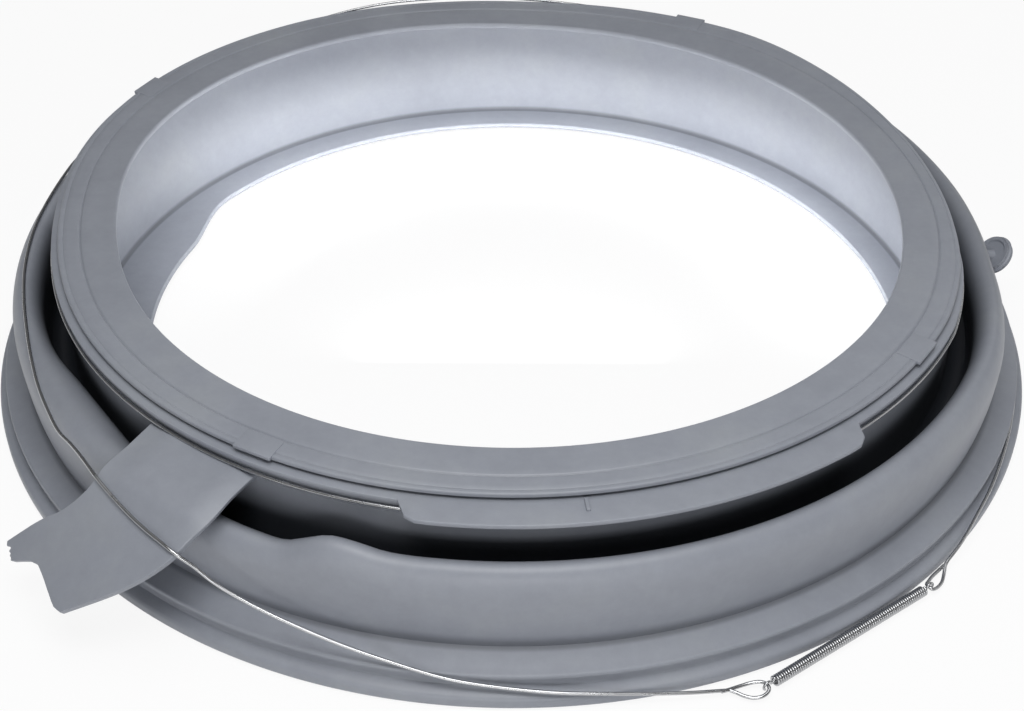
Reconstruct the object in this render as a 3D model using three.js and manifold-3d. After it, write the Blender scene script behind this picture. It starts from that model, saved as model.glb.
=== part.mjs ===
// Washing machine door seal: a grey rubber bellows lying on its tub rim with the
// door face up, its flat moulded tongue, and the wires and spring that clamp it.
// Millimetres, +Z up, origin on the seal's axis in the plane of the tub face.
// Angles are in degrees, measured clockwise from +X as seen from above, so that
// 90 is the near side (-Y), 180 the left and 270 the back.
import * as THREE from 'three';
import { mergeVertices } from 'three/addons/utils/BufferGeometryUtils.js';
import Module from 'manifold-3d';

const wasm = await Module();
wasm.setup();

// driving dimensions
const ringSteps = 64; // facets round the seal
const clearance = 0.3; // gap between pieces that seat on each other

// door end
const openingRadius = 150.9; // free opening in the door face
const faceWidth = 21.6; // radial width of the door face
const sealHeight = 60.3; // tub face to door face
const faceThickness = 2.4; // door face, inboard of the panel slot
const edgeThickness = 1.7; // door face, above the panel slot
const creaseLineInset = 8.2; // fine groove, in from the face's outer edge
const creaseLineDepth = 0.5;
const slotGap = 1.1; // slot that takes the cabinet panel
const slotDepth = 4.6;
const lipThickness = 1.7; // lip below the slot
const lipOverhang = 0.9; // lip beyond the wire seat
const seatStep = 1.0; // wire seat beyond the wall
const seatHeight = 4.6;

// wall and rear lip
const wallInset = 2.1; // wall's inner face, in from the face's outer edge
const wallThickness = 3.0;
const shoulder = 6.6; // height over which the inner wall leans in below the face
const rearHoleRadius = 156.6;
const rearLipHeight = 5.0;
const rearLipThickness = 2.4;
const flapReach = 9.5; // the rear lip is wider on the left
const flapMiddle = 178;
const flapHalfAngle = 28;
const flapBlend = 16; // degrees at each end of the flap

// How the soft door end lies: degrees, shift outward, rise of the face's outer edge,
// draw inward of what lies beyond the fine groove, further draw inward of the lip and wall.
// Zeros give a round, flat door end.
const lie = [
  [28, 0, 0, 0, 0],
  [90, 0, 0, 0, 0],
  [152, 0, 0, 0, 0],
  [166, 0.3, 0, 0, 0],
  [176, 1.6, 0, 0, 0],
  [186, 4.0, 0.6, 0, 0],
  [200, 7.0, 1.6, 0, 0],
  [216, 8.2, 2.1, 0, 0],
  [232, 7.2, 2.3, 0, 0],
  [248, 5.4, 2.0, 0, 0],
  [261, 2.4, 2.0, 0, 0],
  [274, 0, 2.2, 0, 0],
  [294, -0.5, 3.2, 0, 0],
  [310, -1.0, 4.2, 0, 0],
  [326, -1.6, 3.1, 1.5, 1.0],
  [341, -1.9, 1.2, 2.3, 2.2],
  [354, -1.8, 0, 2.4, 3.0],
  [366, -1.4, 0, 2.0, 3.0],
  [376, -0.9, 0, 0.6, 1.4],
  [388, 0, 0, 0, 0],
];

// bellows fold
const troughWidth = 8.6;
const troughFloor = 17.0;
const foldWidth = 11.1;
const foldTop = 45.6;
const crownRise = 9.7;
const skin = 2.6;
const creaseInset = 1.9; // crease under the fold, in from the fold's outer face
const creaseHeight = 13.9;

// How the fold lies: degrees, rise of the crown, reach of its inner side inward,
// draw inward of the whole fold. Zeros give an even fold.
const foldLie = [
  [96, 0, 0, 0],
  [101.5, 0.2, 0, 0],
  [104.6, 2.2, 0, 0],
  [107.2, 2.6, 0, 0],
  [109.8, -1.1, 0, 0],
  [112, -4.4, 0, 0],
  [115, -4.8, 0.1, 0],
  [119, -4.6, 0.4, 0],
  [126, -3.2, 1.8, 0],
  [132, -2.0, 3.2, 0],
  [138, -0.8, 5.2, 0],
  [143, -0.3, 5.8, 0],
  [148, 0, 5.0, 0],
  [153, 0, 2.6, 0],
  [158, 0, 1.0, 0],
  [166, 0, 0, 0],
  [322, 0, 0, 0],
  [332, 0, 0, 1.8],
  [342, 0, 0, 3.4],
  [352, 0, 0, 4.4],
  [360, 0, 0, 5.0],
  [367, 0, 0, 4.8],
  [375, 0, 0, 2.6],
  [382, 0, 0, 0.8],
  [387, 0, 0, 0],
];

// tub rim
const shelfWidth = 9.2; // cone from the crease out to the ridge
const ridgeHeight = 11.2;
const clampSeatDepth = 0.6; // seat for the clamp wire below the ridge
const clampSeatTop = 9.6;
const clampSeatHeight = 4.2;
const beadReach = 3.9; // rim bead beyond the ridge
const tubLegWidth = 2.6; // inner leg of the channel that grips the tub
const tubSlotWidth = 2.8;
const tubSlotDepth = 6.0;

// tab in the front lip
const tabReach = 7.8; // tab beyond the lip
const tabThickness = 1.9;
const tabStart = 51;
const tabEnd = 101;
const tabCorner = 2.4; // angle that each end is rounded over
const ribAngle = 82.5;
const ribWidth = 1.3;
const ribLength = 5.4;
const ribHeight = 0.8;

// small pads on the door face
const padAngles = [36, 117.6, 208, 299];
const padSpan = 4.6; // degrees
const padWidth = 8.7;
const padHeight = 0.25;
const padOverhang = 1.3;

// tongue
const tongueThickness = 2.2;
const edgeCurl = 1.4; // rise of the middle over the near edge, from the root to the wire
// outline of the tip: share of the width from the far edge, share of the length
const tipOutline = [
  [0, 0.975],
  [0.06, 0.984],
  [0.12, 0.98],
  [0.16, 0.99],
  [0.227, 0.998],
  [0.335, 0.959],
  [0.41, 0.952],
  [0.65, 0.966],
  [0.894, 0.978],
  [1, 0.975],
];

// stud on the fold
const studAngle = 359;
const studRadius = 7.4;
const studThickness = 3.6;
const studNeckRadius = 2.2;
const studReach = 2.4; // head's middle beyond the fold
const studRoot = 5.2; // neck's start inside the fold's outer face
const studHeight = 29.4;
const studLean = 40; // degrees, outer end down
const studTurn = 12; // degrees, outer end to the back

// metal
const clampWireRadius = 0.6;
const frontWireRadius = 0.6;
const springRadius = 2.2;
const springWireRadius = 0.5;
const springTurnPitch = 1.4;
const hookRadius = 1.5;
const hookNeck = 1.4;

// derived places
const faceRadius = openingRadius + faceWidth;
const wallInner = faceRadius - wallInset;
const wallOuter = wallInner + wallThickness;
const foldInner = wallOuter + troughWidth;
const foldOuter = foldInner + foldWidth;
const creaseRadius = foldOuter - creaseInset;
const ridgeRadius = creaseRadius + shelfWidth;
const rimRadius = ridgeRadius + beadReach;
const clampSeatRadius = ridgeRadius - clampSeatDepth;
const clampSeatBottom = clampSeatTop - clampSeatHeight;
const slotTop = sealHeight - edgeThickness;
const lipTop = slotTop - slotGap;
const lipBottom = lipTop - lipThickness;
const seatRadius = wallOuter + seatStep;
const lipRadius = seatRadius + lipOverhang;
const wallTopHeight = lipBottom - seatHeight - seatStep;
const wallFixedHeight = troughFloor + troughWidth / 2;
const crownBase = foldTop - crownRise;
const tongueLow = wallTopHeight - 0.5;

// helpers
const rad = THREE.MathUtils.degToRad;
const at = (radius, angle, z) =>
  new THREE.Vector3(radius * Math.cos(rad(angle)), -radius * Math.sin(rad(angle)), z);
const angleOf = (x, y) => {
  const angle = THREE.MathUtils.euclideanModulo(THREE.MathUtils.radToDeg(Math.atan2(-y, x)), 360);
  return angle < lie[0][0] ? angle + 360 : angle;
};
const curveOf = (table, Kind) =>
  new Kind(
    table.map((row) => row[0]),
    table.flatMap((row) => row.slice(1)),
    table[0].length - 1,
    new Float32Array(table[0].length - 1),
  );
const lieCurve = curveOf(lie, THREE.CubicInterpolant);
const foldLieCurve = curveOf(foldLie, THREE.LinearInterpolant);
const tipCurve = curveOf(tipOutline, THREE.LinearInterpolant);

// moves a point of the door end to where it lies; the wall below follows in part
function settle(point) {
  const [x, y, z] = point;
  const radius = Math.hypot(x, y);
  const share = THREE.MathUtils.clamp((z - wallFixedHeight) / (wallTopHeight - wallFixedHeight), 0, 1);
  if (share === 0 || (share < 1 && radius > wallOuter + 0.5 && z < tongueLow)) return;
  const [shift, rise, draw, lipDraw] = lieCurve.evaluate(angleOf(x, y));
  const out = THREE.MathUtils.clamp((radius - openingRadius) / faceWidth, 0, 1.2);
  const beyond = THREE.MathUtils.clamp((radius - faceRadius + creaseLineInset) / creaseLineInset, 0, 1);
  const below = z < slotTop - 0.1 && radius > wallInner - 0.5 ? lipDraw : 0;
  const move = share * (shift - draw * beyond - below);
  point[0] = x * (1 + move / radius);
  point[1] = y * (1 + move / radius);
  point[2] = z + share * rise * out;
}
const settled = (radius, angle, z) => {
  const point = at(radius, angle, z).toArray();
  settle(point);
  return new THREE.Vector3(...point);
};

function arc(cx, cz, rx, rz, from, to, steps) {
  const points = [];
  for (let i = 0; i <= steps; i++) {
    const a = rad(from + ((to - from) * i) / steps);
    points.push([cx + rx * Math.cos(a), cz + rz * Math.sin(a)]);
  }
  return points;
}

function toSolid(geometry) {
  const bare = geometry.index ? geometry.clone() : geometry;
  for (const name of Object.keys(bare.attributes)) if (name !== 'position') bare.deleteAttribute(name);
  const merged = mergeVertices(bare, 1e-4);
  return new wasm.Manifold(
    new wasm.Mesh({
      numProp: 3,
      vertProperties: new Float32Array(merged.attributes.position.array),
      triVerts: new Uint32Array(merged.index.array),
    }),
  );
}

function toGeometry(solid) {
  const mesh = solid.getMesh();
  const geometry = new THREE.BufferGeometry();
  geometry.setAttribute('position', new THREE.BufferAttribute(new Float32Array(mesh.vertProperties), 3));
  geometry.setIndex(new THREE.BufferAttribute(new Uint32Array(mesh.triVerts), 1));
  geometry.computeVertexNormals();
  return geometry;
}

// a wire of round section along a smooth line through the given points
function wire(points, radius, steps, sides, closed = false) {
  const section = new THREE.Shape();
  for (let i = 0; i < sides; i++) {
    const a = (2 * Math.PI * i) / sides;
    const x = radius * Math.cos(a);
    const y = radius * Math.sin(a);
    if (i === 0) section.moveTo(x, y);
    else section.lineTo(x, y);
  }
  section.closePath();
  const curve = new THREE.CatmullRomCurve3(points, closed, 'centripetal');
  curve.arcLengthDivisions = 1200;
  return new THREE.ExtrudeGeometry(section, { steps, bevelEnabled: false, extrudePath: curve });
}

// bellows, as one closed profile turned about the axis
function sealProfile() {
  const foldMiddle = (foldInner + foldOuter) / 2;
  const half = foldWidth / 2;
  const troughMiddle = (wallOuter + foldInner) / 2;
  const troughRadius = troughWidth / 2;
  const troughCentre = troughFloor + troughRadius;
  const groove = faceRadius - creaseLineInset;
  const underTrough = troughRadius + skin;
  const underTroughEnd = 180 + (180 / Math.PI) * Math.acos((troughRadius) / underTrough);
  const channelOut = creaseRadius + tubLegWidth + tubSlotWidth + 1.1;
  const channelIn = channelOut - tubSlotWidth;
  const legIn = channelIn - tubLegWidth;
  return [
    // door face
    [openingRadius, sealHeight - 0.9],
    [openingRadius + 0.9, sealHeight],
    [groove - 0.7, sealHeight],
    [groove, sealHeight - creaseLineDepth],
    [groove + 0.7, sealHeight],
    [faceRadius - 0.6, sealHeight],
    [faceRadius, sealHeight - 0.6],
    [faceRadius, slotTop],
    // panel slot, lip and wire seat
    [faceRadius - slotDepth, slotTop],
    [faceRadius - slotDepth, lipTop],
    [lipRadius - 0.4, lipTop],
    [lipRadius, lipTop - 0.4],
    [lipRadius, lipBottom + 0.4],
    [seatRadius, lipBottom],
    [seatRadius, lipBottom - seatHeight],
    [wallOuter, wallTopHeight],
    // trough, fold and crease
    ...arc(troughMiddle, troughCentre, troughRadius, troughRadius, 180, 360, 4),
    ...arc(foldMiddle, crownBase, half, crownRise, 180, 0, 8),
    [foldOuter - 0.15 * creaseInset, crownBase - 0.4 * (crownBase - creaseHeight)],
    [foldOuter - 0.5 * creaseInset, crownBase - 0.72 * (crownBase - creaseHeight)],
    [creaseRadius, creaseHeight],
    // tub rim
    [ridgeRadius, ridgeHeight],
    [ridgeRadius + 0.5, ridgeHeight - 0.7],
    [ridgeRadius + 0.5, clampSeatTop],
    [clampSeatRadius, clampSeatTop - 0.8],
    [clampSeatRadius, clampSeatBottom + 0.6],
    [ridgeRadius + 0.35 * beadReach, clampSeatBottom],
    [rimRadius - 0.4, 0.72 * clampSeatBottom],
    [rimRadius, 0.4 * clampSeatBottom],
    [rimRadius - 0.9, 0],
    [channelOut, 0],
    [channelOut, tubSlotDepth],
    [channelIn, tubSlotDepth],
    [channelIn, 0],
    [legIn, 0],
    [legIn, tubSlotDepth + 1.4],
    // inside of the fold
    [creaseRadius - skin, creaseHeight - 2.3],
    [foldOuter - skin - 0.5 * creaseInset, crownBase - 0.72 * (crownBase - creaseHeight)],
    ...arc(foldMiddle, crownBase, half - skin, crownRise - skin, 0, 180, 5),
    ...arc(troughMiddle, troughCentre, underTrough, underTrough, 360, underTroughEnd, 3),
    // rear wall and rear lip
    [wallOuter, rearLipHeight - 0.5],
    [wallOuter - 1.6, rearLipHeight - rearLipThickness],
    [rearHoleRadius + 1.0, rearLipHeight - rearLipThickness - 0.8],
    [rearHoleRadius, rearLipHeight - 1.9],
    [rearHoleRadius + 0.8, rearLipHeight - 0.8],
    [wallInner - 0.8, rearLipHeight],
    [wallInner, rearLipHeight + 0.7],
    [wallInner, wallFixedHeight],
    [wallInner, wallTopHeight],
    [faceRadius - slotDepth - 3.2, wallTopHeight + shoulder],
    [faceRadius - slotDepth - 4.4, sealHeight - faceThickness],
    [openingRadius + 0.9, sealHeight - faceThickness],
  ];
}

function sealBody() {
  const profile = sealProfile().map(([r, z]) => new THREE.Vector2(r, z));
  profile.reverse();
  profile.push(profile[0].clone());
  const body = new THREE.LatheGeometry(profile, ringSteps);
  body.rotateX(Math.PI / 2);
  // the fold lies uneven, and the rear lip widens into a flap on the left
  const p = body.attributes.position;
  for (let i = 0; i < p.count; i++) {
    const x = p.getX(i);
    const y = p.getY(i);
    const z = p.getZ(i);
    const r = Math.hypot(x, y);
    const angle = angleOf(x, y);
    if (r > foldInner - 1 && r < foldOuter + 1) {
      const [rise, inward, draw] = foldLieCurve.evaluate(angle);
      const share = THREE.MathUtils.clamp((z - wallFixedHeight) / (crownBase - wallFixedHeight), 0, 1);
      const drawn = draw * THREE.MathUtils.clamp((z - creaseHeight) / (crownBase - creaseHeight), 0, 1);
      const shift = drawn + inward * share * THREE.MathUtils.clamp((foldOuter - r) / foldWidth, 0, 1);
      p.setXYZ(i, (x * (r - shift)) / r, (y * (r - shift)) / r, z + share * rise);
    }
    if (z > rearLipHeight || r > wallInner - 2) continue;
    const off = Math.abs(angle - flapMiddle) - flapHalfAngle;
    const grow = flapReach * (1 - THREE.MathUtils.smoothstep(off, -flapBlend / 2, flapBlend / 2));
    p.setX(i, (x * (r - grow)) / r);
    p.setY(i, (y * (r - grow)) / r);
  }
  return toSolid(body);
}

// tab, rib and pads of the door end
function sector(inner, outer, from, to, corner, z, height) {
  const shape = new THREE.Shape();
  const steps = Math.ceil((to - from) / 4);
  const corners = [];
  for (let i = 0; i <= steps; i++) corners.push(at(inner, from + ((to - from) * i) / steps, 0));
  const end = (share, angle, turn) => {
    const a = (share * Math.PI) / 2;
    return at(inner + (outer - inner) * Math.sin(a), angle + turn * corner * (1 - Math.cos(a)), 0);
  };
  corners.push(end(0.35, to, -1), end(0.65, to, -1));
  for (let i = 0; i <= steps; i++) {
    corners.push(at(outer, to - corner - ((to - from - 2 * corner) * i) / steps, 0));
  }
  corners.push(end(0.65, from, 1), end(0.35, from, 1));
  corners.reverse();
  shape.setFromPoints(corners.map((v) => new THREE.Vector2(v.x, v.y)));
  const solid = new THREE.ExtrudeGeometry(shape, { depth: height, bevelEnabled: false });
  solid.translate(0, 0, z);
  return toSolid(solid);
}

function lipTab() {
  return sector(seatRadius - 1.5, lipRadius + tabReach, tabStart, tabEnd, tabCorner, lipTop - tabThickness, tabThickness);
}

function lipRib() {
  const box = new THREE.BoxGeometry(ribLength, ribWidth, ribHeight + 0.4);
  box.translate(faceRadius + 0.4 + ribLength / 2, 0, lipTop - 0.4 + (ribHeight + 0.4) / 2);
  box.rotateZ(-rad(ribAngle));
  return toSolid(box);
}

function facePad(angle) {
  return sector(
    faceRadius + padOverhang - padWidth,
    faceRadius + padOverhang,
    angle - padSpan / 2,
    angle + padSpan / 2,
    0.5,
    sealHeight - 1.1,
    1.1 + padHeight,
  );
}

// tongue: a flat strip that leaves the wall below the wire seat
const tongueRoot = lipBottom - seatHeight - 0.6;
const tongueFar = [
  at(wallInner + 1.7, 132.2, tongueRoot),
  at(seatRadius + 1.9, 131.7, foldTop + 5.6),
  at(foldOuter - 6.0, 131.0, foldTop + 4.8),
  at(foldOuter + 3.6, 130.8, foldTop + 3.2),
  at(foldOuter + 7.7, 130.7, foldTop + 0.8),
  at(foldOuter + 11.9, 131.2, foldTop - 3.3),
  at(foldOuter + 17.3, 132.6, foldTop - 9.6),
  at(foldOuter + 22.4, 134.3, foldTop - 14.7),
  at(foldOuter + 33.0, 137.3, foldTop - 27.3),
];
const tongueNear = [
  at(wallInner + 1.7, 117.2, tongueRoot),
  at(seatRadius + 2.3, 117.4, foldTop + 4.8),
  at(foldOuter - 8.3, 117.7, foldTop + 4.0),
  at(foldOuter + 1.2, 118.0, foldTop + 1.9),
  at(foldOuter + 7.3, 118.6, foldTop - 0.6),
  at(foldOuter + 15.2, 119.4, foldTop - 4.6),
  at(foldOuter + 21.8, 121.0, foldTop - 9.9),
  at(foldOuter + 27.4, 122.8, foldTop - 14.8),
  at(foldOuter + 40.1, 128.0, foldTop - 27.9),
];

function tongue() {
  const far = new THREE.CatmullRomCurve3(tongueFar, false, 'centripetal');
  const near = new THREE.CatmullRomCurve3(tongueNear, false, 'centripetal');
  const columns = tipOutline.map((row) => row[0]);
  const rows = 22;
  const strip = new THREE.BoxGeometry(1, 1, 1, columns.length - 1, rows, 1);
  const p = strip.attributes.position;
  const surface = (u, v) => {
    const point = far.getPoint(v).lerp(near.getPoint(v), u);
    // the root follows the round wall, and the middle stands over the near edge as far as the wire
    const bow = 1.1 * Math.max(0, 1 - v / 0.25) * 4 * u * (1 - u);
    const out = Math.hypot(point.x, point.y);
    point.x += (bow * point.x) / out;
    point.y += (bow * point.y) / out;
    const curl = THREE.MathUtils.smoothstep(u, 0, 0.3) * (1 - Math.max(0, (u - 0.8) / 0.2) ** 2);
    point.z += edgeCurl * curl * THREE.MathUtils.smoothstep(v, 0.03, 0.12) * (1 - THREE.MathUtils.smoothstep(v, 0.4, 0.54));
    return point;
  };
  for (let i = 0; i < p.count; i++) {
    const u = columns[Math.round((p.getX(i) + 0.5) * (columns.length - 1))];
    const v = (p.getY(i) + 0.5) * tipCurve.evaluate(u)[0];
    const point = surface(u, v);
    const along = surface(u, Math.min(1, v + 0.01)).sub(surface(u, Math.max(0, v - 0.01)));
    const across = surface(Math.min(1, u + 0.03), v).sub(surface(Math.max(0, u - 0.03), v));
    const normal = along.cross(across).normalize();
    if (normal.z < 0) normal.negate();
    point.addScaledVector(normal, (p.getZ(i) - 0.5) * tongueThickness);
    p.setXYZ(i, point.x, point.y, point.z);
  }
  const solid = toSolid(strip);
  return solid.volume() > 0 ? solid : toSolid(flipped(strip));
}

function flipped(geometry) {
  const index = geometry.index;
  for (let i = 0; i < index.count; i += 3) {
    const a = index.getX(i);
    index.setX(i, index.getX(i + 1));
    index.setX(i + 1, a);
  }
  return geometry;
}

// stud on the outside of the fold
function stud() {
  const head = new THREE.CylinderGeometry(studRadius, studRadius - 0.4, studThickness, 20);
  head.rotateZ(-Math.PI / 2);
  head.rotateY(rad(studLean));
  head.rotateZ(rad(studTurn));
  head.translate(foldOuter + studReach, 0, studHeight);
  const neck = new THREE.CylinderGeometry(studNeckRadius, studNeckRadius, studReach + studRoot, 12);
  neck.rotateZ(-Math.PI / 2);
  neck.translate(foldOuter + (studReach - studRoot) / 2, 0, studHeight);
  const both = toSolid(head).add(toSolid(neck));
  return both.rotate([0, 0, -studAngle]);
}

// metal
// The clamp wire lies in the rim's seat on the right, climbs over the fold to
// the door face at the back, comes down the left over the fold's crown and the
// tongue, and drops back into the seat at the near side. Each end is a bent eye.
const onSeat = clampSeatRadius + 1.5 * clearance + clampWireRadius;
const seatMiddle = (clampSeatTop - 0.8 + clampSeatBottom + 0.6) / 2;
const onCrown = foldTop + clearance + clampWireRadius;
const crownMiddle = (foldInner + foldOuter) / 2;

const clampRoute = [
  at(rimRadius + 4.8, 71.4, clampWireRadius + 1.3),
  at(rimRadius + 3.2, 74.5, clampWireRadius + 2.3),
  at(rimRadius + 1.3, 78.8, seatMiddle - 3.0),
  at(rimRadius + 0.4, 82.5, seatMiddle - 1.5),
  at(rimRadius - 0.3, 86.1, seatMiddle - 0.4),
  at(rimRadius - 1.9, 91.1, seatMiddle + 0.7),
  at(rimRadius - 2.2, 95.4, clampSeatTop + 0.8),
  at(rimRadius - 3.4, 100.7, creaseHeight + 0.1),
  at(rimRadius - 3.1, 105.9, creaseHeight + 5.0),
  at(rimRadius - 1.5, 112.2, foldTop - 19.0),
  at(rimRadius + 0.3, 116.0, foldTop - 12.2),
  at(rimRadius + 1.6, 117.7, foldTop - 6.7),
  at(rimRadius + 2.9, 118.7, foldTop - 3.3),
  at(rimRadius + 3.2, 119.6, foldTop - 1.6),
  at(rimRadius + 2.2, 121.1, foldTop - 1.1),
  at(rimRadius + 1.2, 122.8, foldTop - 0.7),
  at(rimRadius - 0.1, 124.9, foldTop + 0.0),
  at(rimRadius - 1.5, 127.2, foldTop + 1.2),
  at(rimRadius - 2.4, 128.9, foldTop + 2.3),
  at(rimRadius - 3.3, 130.6, foldTop + 3.5),
  at(rimRadius - 5.4, 133.2, foldTop + 3.2),
  at(rimRadius - 7.3, 136.4, onCrown + 1.0),
  at(foldOuter + 3.4, 139.0, onCrown + 0.2),
  at(foldOuter + 1.5, 142.5, onCrown),
  at(crownMiddle + 4.8, 147.0, onCrown),
  at(crownMiddle + 2.4, 152.0, onCrown),
  at(crownMiddle + 0.8, 156.7, onCrown),
  at(crownMiddle - 0.1, 163.4, onCrown),
  at(crownMiddle, 169.9, onCrown),
  at(crownMiddle + 0.4, 177.2, onCrown),
  at(crownMiddle + 0.7, 183.0, onCrown),
  at(crownMiddle + 1.6, 190.2, onCrown),
  at(crownMiddle + 2.5, 194.9, onCrown),
  at(crownMiddle + 2.0, 202.0, onCrown + 0.6),
  at(crownMiddle + 0.8, 211.0, onCrown + 3.6),
  settled(lipRadius + 3.6, 220.0, lipTop - 3.0),
  settled(lipRadius + 2.8, 230.0, lipTop - 2.0),
  settled(lipRadius + 2.2, 240.0, lipTop - 1.2),
  settled(lipRadius + 1.7, 246.5, lipTop + 0.9),
  settled(faceRadius + 1.7, 252.5, sealHeight + 0.5),
  settled(faceRadius + 1.7, 263.0, sealHeight + 0.5),
  settled(lipRadius + 1.5, 276.0, lipTop + 0.6),
  at(foldOuter - 6.0, 292.0, foldTop + 7.4),
  at(foldOuter + 3.2, 307.0, foldTop - 2.2),
  at(foldOuter + 8.0, 321.0, foldTop - 18.0),
  at(onSeat + 2.4, 335.0, creaseHeight + 1.1),
  at(onSeat + 1.7, 346.0, clampSeatTop - 0.2),
  at(onSeat + 0.2, 357.0, seatMiddle),
  at(onSeat, 10.0, seatMiddle),
  at(onSeat, 22.0, seatMiddle),
  at(rimRadius - 1.7, 32.0, seatMiddle - 0.2),
  at(rimRadius - 0.3, 37.6, seatMiddle - 1.0),
  at(rimRadius + 1.2, 41.6, seatMiddle - 2.4),
  at(rimRadius + 1.6, 44.5, clampWireRadius + 2.3),
];

// Each eye is a teardrop of the same wire, and a hook of the spring stands in its round end.
const eyeLow = clampWireRadius + 0.7;
const leftEye = [
  at(rimRadius + 4.9, 71.8, eyeLow + 0.7),
  at(rimRadius + 4.7, 71.1, eyeLow + 0.4),
  at(rimRadius + 4.4, 69.8, eyeLow + 0.2),
  at(rimRadius + 4.7, 68.9, eyeLow + 0.5),
  at(rimRadius + 5.6, 68.25, eyeLow + 0.9),
  at(rimRadius + 6.8, 67.95, eyeLow + 1.1),
  at(rimRadius + 8.0, 67.87, eyeLow + 1.2),
  at(rimRadius + 9.3, 67.95, eyeLow + 1.0),
  at(rimRadius + 10.3, 68.35, eyeLow + 0.6),
  at(rimRadius + 10.5, 68.9, eyeLow + 0.3),
  at(rimRadius + 9.8, 69.5, eyeLow),
  at(rimRadius + 8.2, 70.1, eyeLow),
  at(rimRadius + 6.3, 70.6, eyeLow + 0.2),
  at(rimRadius + 5.0, 71.05, eyeLow + 0.5),
];
const rightEye = [
  at(rimRadius + 1.5, 44.0, clampWireRadius + 2.8),
  at(rimRadius + 1.9, 44.6, clampWireRadius + 2.1),
  at(rimRadius + 3.5, 45.5, eyeLow + 0.4),
  at(rimRadius + 4.9, 46.4, eyeLow + 0.1),
  at(rimRadius + 5.3, 47.1, eyeLow + 0.2),
  at(rimRadius + 5.3, 47.7, eyeLow + 0.6),
  at(rimRadius + 4.9, 48.02, eyeLow + 1.0),
  at(rimRadius + 3.8, 48.04, eyeLow + 1.2),
  at(rimRadius + 2.6, 47.95, eyeLow + 1.1),
  at(rimRadius + 2.0, 47.4, eyeLow + 0.9),
  at(rimRadius + 1.5, 46.6, eyeLow + 0.8),
  at(rimRadius + 1.4, 45.5, eyeLow + 0.8),
  at(rimRadius + 1.6, 44.65, clampWireRadius + 2.0),
];

function clampWire() {
  return toGeometry(
    toSolid(wire(clampRoute, clampWireRadius, 150, 7))
      .add(toSolid(wire(leftEye, clampWireRadius, 26, 7)))
      .add(toSolid(wire(rightEye, clampWireRadius, 24, 7))),
  );
}

function frontWire() {
  const radius = seatRadius + 1.3 * clearance + frontWireRadius;
  const ring = new THREE.TorusGeometry(radius, frontWireRadius, 7, 84);
  ring.translate(0, 0, lipBottom - seatHeight / 2 + 0.3);
  const p = ring.attributes.position;
  for (let i = 0; i < p.count; i++) {
    const point = [p.getX(i), p.getY(i), p.getZ(i)];
    settle(point);
    p.setXYZ(i, ...point);
  }
  return ring;
}

// The spring lies on the floor between the two eyes. Each hook passes through one.
const springStart = at(rimRadius + 7.3, 67.16, springRadius + clearance);
const springEnd = at(rimRadius + 3.5, 48.8, springRadius + clearance);

function clampSpring() {
  const axis = springEnd.clone().sub(springStart);
  const length = axis.length();
  const turns = Math.round(length / springTurnPitch);
  const pitch = length / turns;
  const profile = [new THREE.Vector2(0, 0)];
  for (let i = 0; i < turns; i++) {
    profile.push(new THREE.Vector2(springRadius - 0.28, i * pitch));
    profile.push(new THREE.Vector2(springRadius, (i + 0.5) * pitch));
  }
  profile.push(new THREE.Vector2(springRadius - 0.28, length));
  profile.push(new THREE.Vector2(0, length));
  const coil = new THREE.LatheGeometry(profile, 9);
  const aim = new THREE.Quaternion().setFromUnitVectors(new THREE.Vector3(0, 1, 0), axis.clone().normalize());
  coil.applyQuaternion(aim);
  coil.translate(springStart.x, springStart.y, springStart.z);
  const forward = axis.clone().normalize();
  return toGeometry(
    toSolid(coil)
      .add(toSolid(hook(springStart, forward.clone().negate())))
      .add(toSolid(hook(springEnd, forward))),
  );
}

// a round hook that stands up from the coil's end and turns down through the eye
function hook(from, direction) {
  const points = [from.clone().addScaledVector(direction, -1.2)];
  const middle = from.clone().addScaledVector(direction, hookRadius + hookNeck);
  for (let i = 0; i <= 8; i++) {
    const a = rad(180 - 30 * i);
    const point = middle.clone().addScaledVector(direction, hookRadius * Math.cos(a));
    point.z += hookRadius * Math.sin(a);
    points.push(point);
  }
  return wire(points, springWireRadius, 22, 7);
}

// materials and scene
const rubber = new THREE.MeshStandardMaterial({ color: 0x8f949d, roughness: 0.55, metalness: 0 });
const steel = new THREE.MeshStandardMaterial({ color: 0xb9bbbe, roughness: 0.28, metalness: 1 });

let seal = sealBody().add(lipTab()).add(lipRib());
for (const angle of padAngles) seal = seal.add(facePad(angle));
seal = seal.warp(settle).add(tongue()).add(stud());

const object = new THREE.Group();
for (const [name, geometry, material] of [
  ['gasket', toGeometry(seal), rubber],
  ['clamp_wire', clampWire(), steel],
  ['clamp_spring', clampSpring(), steel],
  ['front_wire', frontWire(), steel],
]) {
  const mesh = new THREE.Mesh(geometry, material);
  mesh.name = name;
  object.add(mesh);
}

export default object;
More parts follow.
